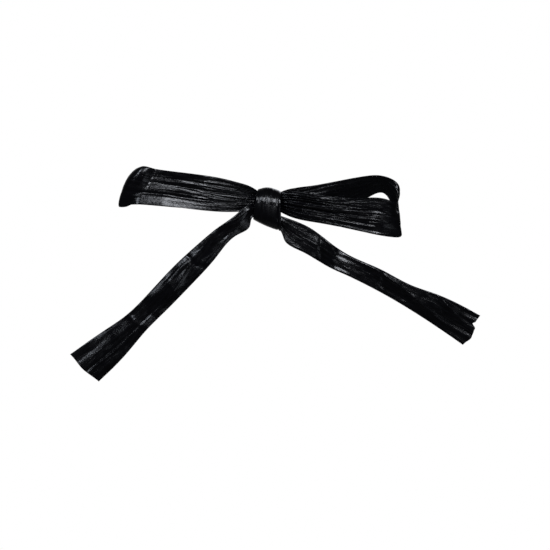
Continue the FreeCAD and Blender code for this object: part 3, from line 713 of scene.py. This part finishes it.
KNOT_PLEATS = [
    (0, 0.6), (0.3, 0.8), (0.5, 0.2), (0.6, 0.6), (0.655, 1.0), (0.725, 1.0), (0.757, 0.1),
    (0.95, 0.1), (1.1, 0.6),
]
KNOT_CRINKLE = 0.04
KNOT_GROOVE = [(0, 0), (0.7, 0), (0.78, 1), (1.1, 1)]  # a groove down the front, near one edge
KNOT_GROOVE_AT, KNOT_GROOVE_WIDTH, KNOT_GROOVE_DEPTH = 5.6, 0.28, 0.5


def knot_surface(turn, share):
    """Points of the wrap's outside: turn is 0 to 1 round it, share -1 to 1 along X."""
    places = list(KNOT_SECTIONS)
    count = len(KNOT_SECTIONS[places[0]])
    rings = []
    for outline in KNOT_SECTIONS.values():
        # three turns in a row, so that the middle one closes smoothly
        ring = np.array(outline * 3, float)
        knots = (np.arange(len(ring)) - count) / count
        rings.append(spline(knots, ring, turn))
    x = places[0] + (places[-1] - places[0]) * (share + 1) / 2
    blend = spline(places, np.array(rings).reshape(len(places), -1), x)
    blend = blend.reshape(len(x), len(turn), 2)
    points = np.empty((len(turn), len(x), 3))
    points[:, :, 1] = -blend[:, :, 0].T
    points[:, :, 2] = blend[:, :, 1].T
    high = np.clip((points[:, :, 2] - KNOT_FOOT) / (KNOT_TOP - KNOT_FOOT), 0, 1)
    points[:, :, 0] = x + KNOT_LEAN * high * (1 - share) / 2
    return points


def make_knot_wrap():
    """The short ribbon over the knot: pleats down its shoulder, edges turned under, end lapped."""
    turn = np.linspace(0, 1 + KNOT_OVERLAP, KNOT_ROWS)
    share = np.linspace(-1, 1, KNOT_COLUMNS)
    half = (max(KNOT_SECTIONS) - min(KNOT_SECTIONS)) / 2
    back = np.full(KNOT_ROWS, (CUT_HALF - half) * KNOT_TURNED_UNDER)
    radius = np.full(KNOT_ROWS, KNOT_TURN_RADIUS)
    across, behind = section(share, np.full(KNOT_ROWS, half), back, radius)
    surface = knot_surface(turn, share)
    # read the smooth surface at the places that the turned-under section reaches
    column = (across / half + 1) / 2 * (KNOT_COLUMNS - 1)
    low = np.clip(np.floor(column).astype(int), 0, KNOT_COLUMNS - 2)
    part = (column - low)[:, :, None]
    row = np.arange(KNOT_ROWS)[:, None]
    points = surface[row, low] * (1 - part) + surface[row, low + 1] * part
    normals = grid_normals(surface)[row, low]
    middle = (points * np.array([0, 1, 1])).mean(axis=0).mean(axis=0)
    outward = np.sign(((points - middle) * normals).sum(axis=2)[KNOT_ROWS // 2].mean())

    round_it = turn[:, None] * np.ones(KNOT_COLUMNS)[None, :]
    along = round_it * KNOT_ROUND
    pleats = profile(KNOT_PLEATS, round_it.ravel()).reshape(round_it.shape)
    fine = noise(along / 14, across / 0.7, 211) * 0.1 + noise(along / 11, across / 1.3, 212) * 0.17
    height = pleats * fine + KNOT_CRINKLE * crinkle(along, across, 213)
    groove = profile(KNOT_GROOVE, round_it.ravel()).reshape(round_it.shape)
    inside = np.exp(-(((across - KNOT_GROOVE_AT) / KNOT_GROOVE_WIDTH) ** 2))
    height -= KNOT_GROOVE_DEPTH * groove * inside
    height -= KNOT_STEP * (1 - np.clip((round_it - KNOT_OVERLAP) / KNOT_STEP_TURN, 0, 1))
    height *= 1 - KNOT_CALM * np.clip(behind / (2 * KNOT_TURN_RADIUS), 0, 1)
    points = points + normals * outward * (height - behind)[:, :, None]
    uvs = np.stack([along, share[None, :] * CUT_HALF * np.ones_like(along)], axis=2).reshape(-1, 2)
    piece = cloth_mesh("knot_wrap", points, RIBBON_GAUGE, uvs)
    piece.data.materials.append(SATIN)
    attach(piece, "bow_core")
    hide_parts("knot_band")


# ---------------------------------------- the pinched ribbon in the knot

BUNDLE_ROWS, BUNDLE_SIDES = 60, 140
BUNDLE_FOLD, BUNDLE_WANDER, BUNDLE_CREST = 0.22, 0.25, 0.7  # depth, straying and sharpness


def make_bundle(name, node, path, ribs, seed):
    """Ribbon pinched into a bundle: a lumpy oval with folds that run along X.

    path is a list of (x, middle y, middle z, half depth, half height).
    """
    path = np.array(path, float)
    x = np.linspace(path[0, 0], path[-1, 0], BUNDLE_ROWS)
    y, z, deep, tall = (spline(path[:, 0], path[:, i], x)[:, None] for i in range(1, 5))
    x = x[:, None]
    angle = np.linspace(0, 2 * math.pi, BUNDLE_SIDES, endpoint=False)[None, :]
    round_it = angle * ribs / (2 * math.pi)
    folds = np.sin(math.pi * (round_it + BUNDLE_WANDER * noise(x / 4, round_it, seed)))
    reach = 1 - BUNDLE_FOLD * (1 - np.abs(folds) ** BUNDLE_CREST)
    across, up = y + deep * reach * np.cos(angle), z + tall * reach * np.sin(angle)
    points = np.stack(np.broadcast_arrays(x, across, up), axis=2)
    ends = [points[:1].mean(axis=1), points[-1:].mean(axis=1)]
    vertices = np.concatenate([points.reshape(-1, 3), *ends])
    uvs = np.stack([vertices[:, 0], np.zeros(len(vertices))], axis=1)
    uvs[: points[:, :, 0].size, 1] = (angle * (deep + tall) / 2).ravel()
    piece = new_object(name, vertices, capped_faces(BUNDLE_ROWS, BUNDLE_SIDES), uvs)
    piece.data.materials.append(SATIN)
    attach(piece, "bow_core")
    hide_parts(node)


# ---------------------------------------- thread

THREAD_RADIUS = 0.3
STITCH_RADIUS = 0.24
THREAD_SIDE = (0.31, 0.52, 0.79)  # a direction that no thread runs in
PLY_SHARE = 0.56  # a ply's radius as a share of its thread's
PLY_SIDES = 8
PLY_TWIST = 0.9  # turns of the plies per millimetre
WAIST_TURNS, WAIST_TURN_POINTS = 6, 60
STITCHES, STITCH_POINTS = 5, 24
STITCH_DIVE, STITCH_PROUD = 0.35, 0.05  # how far a stitch's ends go in, and its middle stands out
STITCH_SLANT = 0.35


def plies(path, radius):
    """The paths of the two plies that wind round a thread's path."""
    ahead = np.gradient(path, axis=0)
    step = np.linalg.norm(ahead, axis=1)
    ahead /= step[:, None]
    side = np.cross(ahead, THREAD_SIDE)
    side /= np.linalg.norm(side, axis=1, keepdims=True)
    other = np.cross(ahead, side)
    angle = (np.cumsum(step) * PLY_TWIST * 2 * math.pi)[:, None]
    offset = radius / 2 * (np.cos(angle) * side + np.sin(angle) * other)
    return path + offset, path - offset


def make_thread(name, paths, radius, node):
    """Twisted two-ply threads along the paths, joined as one piece."""
    tubes = []
    for path in paths:
        for ply in plies(path, radius):
            tubes.append(tube_mesh(name, ply, radius * PLY_SHARE, PLY_SIDES))
    piece = join(tubes, name)
    piece.data.materials.append(THREAD)
    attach(piece, "bow_core")
    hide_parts(node)


def join(pieces, name):
    """One object from several, without operators."""
    vertices, faces = [], []
    for piece in pieces:
        start = len(vertices)
        vertices += [tuple(v.co / MM) for v in piece.data.vertices]
        faces += [[start + i for i in polygon.vertices] for polygon in piece.data.polygons]
        bpy.data.objects.remove(piece)
    return new_object(name, vertices, faces)


def waist_thread_path():
    """A thread wound round the waist's oval, close turn after turn."""
    low, high = cad_box("waist_thread")
    angle = np.linspace(0, 2 * math.pi * WAIST_TURNS, WAIST_TURN_POINTS * WAIST_TURNS)
    middle, reach = (low + high) / 2, (high - low) / 2 - THREAD_RADIUS
    return np.stack(
        [
            np.linspace(low[0] + THREAD_RADIUS, high[0] - THREAD_RADIUS, len(angle)),
            middle[1] + reach[1] * np.cos(angle),
            middle[2] + reach[2] * np.sin(angle),
        ],
        axis=1,
    )


def stitch_paths():
    """The stitches that close the wrap's lap, which dive into the cloth at both ends."""
    node = frame["nodes"]["knot_stitches"]
    points = np.array([v.co for v in node.data.vertices]) / MM
    t = np.linspace(0, 1, STITCH_POINTS)
    paths = []
    for group in np.array_split(points[np.argsort(points[:, 0])], STITCHES):
        middle = group.mean(axis=0)
        reach = (group - middle)[:, 1]
        start, stop = group[reach.argmin()], group[reach.argmax()]
        path = start * (1 - t)[:, None] + stop * t[:, None]
        path[:, 2] += STITCH_DIVE * (1 - np.sin(math.pi * t)) - STITCH_PROUD
        path[:, 0] = middle[0] + STITCH_SLANT * (t - 0.5)
        paths.append(path)
    return paths


# ---------------------------------------- the clip's soft and sprung parts

LINING_GAUGE, LINING_WIDTH = 0.3, 10.0
LINING_HOOK = -0.35  # the lining's depth where it rounds the jaw's tip
LINING_INNER, LINING_INNER_END = -1.75, 7.4  # its depth inside the jaw, and where it ends there
LINING_ROUNDING, ARC_POINTS = 0.22, 7  # the radius of its corners, and the points in each
LINING_ROWS, LINING_COLUMNS = 1500, 22
LINING_CLOTH = 0.7  # the cloth's thickness between its ribs, as a share of the gauge
HOOK_GAUGE = 0.9  # how thick the jaw's hooked tip is
RIB_PITCH, RIB_HEIGHT = 0.55, 0.045
RIB_EDGE_CALM = 0.6
SELVEDGE_FROM, SELVEDGE_DROP = 0.86, 0.04
SCALLOP = 0.05  # how far the ribs push the edges in and out
LINING_WAVES = 0.03


def make_lining():
    """Grosgrain ribbon glued over the jaw, round its tip and back inside, with its own ribs."""
    low, high = cad_box("clip_lining")
    jaw_low, _ = cad_box("clip_upper_jaw")
    middle = LINING_GAUGE / 2
    tip, outer = low[0] + middle, low[1] + middle
    hook = jaw_low[0] + HOOK_GAUGE + middle
    corners = [
        (high[0], outer),
        (tip, outer),
        (tip, LINING_HOOK),
        (hook, LINING_HOOK),
        (hook, LINING_INNER),
        (LINING_INNER_END, LINING_INNER),
    ]
    path = rounded_path(corners, LINING_ROUNDING)
    steps = np.concatenate([[0], np.cumsum(np.linalg.norm(np.diff(path, axis=0), axis=1))])
    length = steps[-1]
    along = np.linspace(0, length, LINING_ROWS)
    line = np.stack([np.interp(along, steps, path[:, i]) for i in range(2)], axis=1)
    ahead = np.gradient(line, axis=0)
    ahead /= np.linalg.norm(ahead, axis=1, keepdims=True)
    rib = np.cos(2 * math.pi * along / RIB_PITCH)[:, None]
    share = np.linspace(-1, 1, LINING_COLUMNS)[None, :]
    half = (high[2] - low[2]) / 2
    edge = np.clip((np.abs(share) - SELVEDGE_FROM) / (1 - SELVEDGE_FROM), 0, 1)
    lift = RIB_HEIGHT * rib * (1 - RIB_EDGE_CALM * edge) - SELVEDGE_DROP * edge
    lift += LINING_WAVES * noise(along[:, None] / 5, share * 1.5, 301)
    points = np.empty((*lift.shape, 3))
    points[:, :, 0] = line[:, None, 0] + ahead[:, None, 1] * lift
    points[:, :, 1] = line[:, None, 1] - ahead[:, None, 0] * lift
    points[:, :, 2] = share * (half - SCALLOP + SCALLOP * rib)
    uvs = np.stack(np.broadcast_arrays(along[:, None], share * half), axis=2).reshape(-1, 2)
    piece = cloth_mesh("clip_lining_ribbon", points, LINING_GAUGE * LINING_CLOTH, uvs)
    piece.data.materials.append(GROSGRAIN)
    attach(piece, "bow_core")
    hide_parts("clip_lining")


def rounded_path(corners, radius):
    """A polyline with small arcs at its corners."""
    corners = np.array(corners, float)
    points = [corners[0]]
    for before, here, after in zip(corners, corners[1:], corners[2:]):
        back = (before - here) / np.linalg.norm(before - here)
        ahead = (after - here) / np.linalg.norm(after - here)
        start, end = here + back * radius, here + ahead * radius
        for t in np.linspace(0, 1, ARC_POINTS):
            points.append((1 - t) ** 2 * start + 2 * t * (1 - t) * here + t**2 * end)
    points.append(corners[-1])
    return np.array(points)


GLUE_RINGS, GLUE_SIDES = 22, 90
GLUE_FILL = 0.97  # how much of the CAD pad's width and height the bead fills
GLUE_RIM, GLUE_CROWN = 0.3, 0.55  # how thick the bead is at its rim, and how much more inside
GLUE_WOBBLE, GLUE_LUMPS = 0.05, 0.08


def make_glue():
    """A pressed bead of hot glue with an uneven rim, up against the gathered ribbon."""
    low, high = cad_box("glue_pad")
    r = np.linspace(0, 1, GLUE_RINGS)[:, None]
    angle = np.linspace(0, 2 * math.pi, GLUE_SIDES, endpoint=False)[None, :]
    wide, tall = (high[0] - low[0]) / 2, (high[2] - low[2]) / 2
    wobble = 1 + GLUE_WOBBLE * noise(2.2 * np.cos(angle) + 9, 2.2 * np.sin(angle) + 9, 401)
    square = (np.abs(np.cos(angle)) ** 3 + np.abs(np.sin(angle)) ** 3) ** (-1 / 3)
    x = (low[0] + high[0]) / 2 + wide * GLUE_FILL * r * square * wobble * np.cos(angle)
    z = tall * GLUE_FILL * r * square * wobble * np.sin(angle)
    lump = GLUE_LUMPS * noise(x / 2.2 + 20, z / 1.8 + 20, 402)
    front = high[1] - (GLUE_RIM + GLUE_CROWN * (1 - r**2) + lump) * (1 - r**4) ** 0.5
    back = np.full_like(front, high[1])
    vertices = np.concatenate([np.stack([x, y, z], axis=2).reshape(-1, 3) for y in (front, back)])
    index = np.arange(GLUE_RINGS * GLUE_SIDES).reshape(GLUE_RINGS, GLUE_SIDES)
    top = ring_faces(index)
    under = index.size
    rim, after = index[-1], np.roll(index[-1], -1)
    sides = np.stack([rim, after, after + under, rim + under], axis=1)
    piece = new_object("glue_bead", vertices, np.concatenate([top, top[:, ::-1] + under, sides]))
    weld(piece)
    piece.data.materials.append(GLUE)
    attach(piece, "bow_core")
    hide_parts("glue_pad")


def weld(piece):
    """Joins a mesh's coincident corners, such as the middle of a disc, and points it outwards."""
    mesh = bmesh.new()
    mesh.from_mesh(piece.data)
    bmesh.ops.remove_doubles(mesh, verts=mesh.verts, dist=1e-6)
    bmesh.ops.dissolve_degenerate(mesh, edges=mesh.edges, dist=1e-7)
    bmesh.ops.recalc_face_normals(mesh, faces=mesh.faces)
    mesh.to_mesh(piece.data)
    mesh.free()


SPRING_RADIUS, SPRING_WIRE, SPRING_HALF = 2.0, 0.35, 1.95
SPRING_COILS, SPRING_COIL_POINTS = 4, 420
SPRING_LEG, SPRING_LEG_START, SPRING_LEG_POINTS = 8.0, 0.3, 40
SPRING_SIDES = 12
HANDLE_ANGLE = 30.0  # between the two handles, and so between the spring's legs


def make_spring():
    """The wire on the hinge: one leg along each handle."""
    hinge = joint_place("jaw_hinge")
    half, turns = SPRING_HALF, SPRING_COILS + (180 - HANDLE_ANGLE) / 360
    angle = -math.pi / 2 - np.linspace(0, 2 * math.pi * turns, SPRING_COIL_POINTS)
    coil = np.stack(
        [
            hinge[0] + SPRING_RADIUS * np.cos(angle),
            hinge[1] + SPRING_RADIUS * np.sin(angle),
            np.linspace(-half, half, len(angle)),
        ],
        axis=1,
    )
    reach = np.linspace(SPRING_LEG, SPRING_LEG_START, SPRING_LEG_POINTS)[:, None]
    first = coil[0] + reach * np.array([1.0, 0.0, 0.0])
    slope = math.radians(HANDLE_ANGLE)
    second = coil[-1] + reach[::-1] * np.array([math.cos(slope), math.sin(slope), 0.0])
    path = np.concatenate([first, coil, second])
    piece = tube_mesh("spring_wire", path, SPRING_WIRE, SPRING_SIDES)
    piece.data.materials.append(SPRING_STEEL)
    ends = (Vector((hinge[0], hinge[1], z)) * MM for z in (-half, half))
    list(ends)
    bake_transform(piece)
    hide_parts("torsion_spring")


# ---------------------------------------- studio

CAMERA_AT = (4.0, -950.0, -37.0)
RIBBON_PLANE = -11.0  # the front strips' Y
FRAME_WIDTH = 275.0  # how much of that plane the picture holds
LIGHT_AIM = (0.0, -5.0, -25.0)
WHITE, COOL = (0.9, 0.93, 1.0), (0.84, 0.9, 1.0)
# each light's name, place, size in millimetres, power in watts, and colour
LIGHTS = [
    ("key", (150.0, -820.0, 420.0), 260.0, 2.9, WHITE),
    ("upper_left", (-480.0, -560.0, 480.0), 240.0, 1.45, COOL),
    ("low_right", (420.0, -640.0, -420.0), 220.0, 0.2, COOL),
    ("behind", (260.0, 700.0, 420.0), 520.0, 1.05, WHITE),
]
SURROUND_FRONT, SURROUND_BACK = 0.018, 0.35  # the room's grey in front and behind
SURROUND_TURN = (0.45, 0.95)  # where the one begins to turn into the other, and where it ends
FLOOR_RADIUS, FLOOR_AT, FLOOR_SIDES = 700, -1250.0, 64
FLOOR_GLOW = 0.7  # how bright the camera sees the floor's middle besides its lit paper
FLOOR_FADE = (0.3, 0.68)  # where that grows to white, in metres from the middle


def place_camera():
    """A level camera in front of the bow."""
    camera = bpy.data.objects.new("camera", bpy.data.cameras.new("camera"))
    bpy.context.scene.collection.objects.link(camera)
    camera.location = Vector(CAMERA_AT) * MM
    camera.rotation_euler = (math.radians(90), 0, 0)
    reach = RIBBON_PLANE - CAMERA_AT[1]
    camera.data.lens = camera.data.sensor_width * reach / FRAME_WIDTH
    bpy.context.scene.camera = camera


def place_lights():
    """Soft square lamps aimed at the bow."""
    for name, place, size, power, colour in LIGHTS:
        lamp = bpy.data.lights.new(name, "AREA")
        lamp.size = size * MM
        lamp.energy = power
        lamp.color = colour
        light = bpy.data.objects.new(name, lamp)
        bpy.context.scene.collection.objects.link(light)
        light.location = Vector(place) * MM
        aim = Vector(LIGHT_AIM) * MM - light.location
        light.rotation_euler = aim.to_track_quat("-Z", "Y").to_euler()


def light_the_world():
    """White behind the object, and a dim room on it, lighter on the side of the clip."""
    world = bpy.data.worlds.new("studio")
    bpy.context.scene.world = world
    world.use_nodes = True
    tree = world.node_tree
    tree.nodes.clear()
    seen = add_node(tree, "ShaderNodeLightPath").outputs["Is Camera Ray"]
    facing = add_node(tree, "ShaderNodeTexCoord").outputs["Generated"]
    axes = add_node(tree, "ShaderNodeSeparateXYZ", {0: facing})
    room = ramp(tree, axes.outputs["Y"], SURROUND_FRONT, SURROUND_BACK, SURROUND_TURN)
    soft = add_node(tree, "ShaderNodeBackground", {"Color": room, "Strength": 1.0})
    white = add_node(tree, "ShaderNodeBackground", {"Color": (1, 1, 1, 1), "Strength": 1.0})
    mix = add_node(tree, "ShaderNodeMixShader", {0: seen, 1: soft.outputs[0], 2: white.outputs[0]})
    add_node(tree, "ShaderNodeOutputWorld", {"Surface": mix.outputs[0]})
    bpy.context.scene.view_settings.view_transform = "Standard"


def make_floor():
    """A pale round floor, so far below the bow that it hides no view from underneath.

    It grows whiter towards its rim, where it meets the white room.
    """
    turn = np.arange(FLOOR_SIDES) * 2 * math.pi / FLOOR_SIDES
    level = np.full(FLOOR_SIDES, FLOOR_AT)
    rim = np.stack([FLOOR_RADIUS * np.cos(turn), FLOOR_RADIUS * np.sin(turn), level], axis=1)
    floor = new_object("floor", rim, [list(range(FLOOR_SIDES))])
    material, tree, shader = new_material("floor_paper", Roughness=0.9)
    place = add_node(tree, "ShaderNodeTexCoord").outputs["Object"]
    pulp = noise_texture(tree, place, (40, 40, 40), 5)
    link(shader, Base_Color=ramp(tree, pulp, 0.5, 0.56, (0.3, 0.7)))
    flat = add_node(tree, "ShaderNodeVectorMath", {0: place, 1: (1, 1, 0)}, operation="MULTIPLY")
    reach = add_node(tree, "ShaderNodeVectorMath", {0: flat.outputs[0]}, operation="LENGTH")
    fade = ramp(tree, reach.outputs["Value"], FLOOR_GLOW, 1.0, FLOOR_FADE)
    seen = add_node(tree, "ShaderNodeLightPath").outputs["Is Camera Ray"]
    link(shader, Emission_Color=fade, Emission_Strength=seen)
    floor.data.materials.append(material)


# ---------------------------------------- the bow

SATIN = ribbon_material()
GROSGRAIN = grosgrain_material()
THREAD = thread_material()
GLUE = glue_material()
CLIP_STEEL = metal_material("nickel_plate", (0.72, 0.71, 0.68), 0.36, (0.25, 12.0, 12.0))
RIVET_STEEL = metal_material("rivet_plate", (0.7, 0.69, 0.66), 0.28, (7.0, 7.0, 3.0))
SPRING_STEEL = metal_material("spring_wire_steel", (0.55, 0.55, 0.56), 0.26, (1.5, 1.5, 12.0))

place_camera()
place_lights()
light_the_world()
make_floor()
make_ribbon("loop_ribbon_left", LOOP_LEFT, "loop_left")
make_ribbon("loop_ribbon_right", LOOP_RIGHT, "loop_right")
make_ribbon("tail_ribbon_left", TAIL_LEFT, "tail_left")
make_ribbon("tail_ribbon_right", TAIL_RIGHT, "tail_right")
make_bundle(
    "waist_bundle",
    "waist_gather",
    [(-5.6, -6.85, -0.3, 3.0, 4.1), (0, -6.85, -0.3, 2.9, 3.9), (5.6, -6.85, -0.3, 3.0, 4.1)],
    ribs=15,
    seed=61,
)
make_bundle(
    "tail_bundle",
    "tail_gather",
    [(-5.6, -8.1, -6.0, 1.9, 0.6), (0, -8.1, -7.3, 1.9, 1.9), (5.6, -8.1, -8.6, 1.9, 3.2)],
    ribs=9,
    seed=67,
)
make_knot_wrap()
make_thread("waist_winding", [waist_thread_path()], THREAD_RADIUS, "waist_thread")
make_thread("lap_stitches", stitch_paths(), STITCH_RADIUS, "knot_stitches")
make_lining()
make_glue()
make_spring()
for node, material in (
    ("clip_upper_jaw", CLIP_STEEL),
    ("clip_lower_prong", CLIP_STEEL),
    ("hinge_pin", RIVET_STEEL),
):
    mesh = frame["nodes"][node].data
    mesh.materials.clear()
    mesh.materials.append(material)
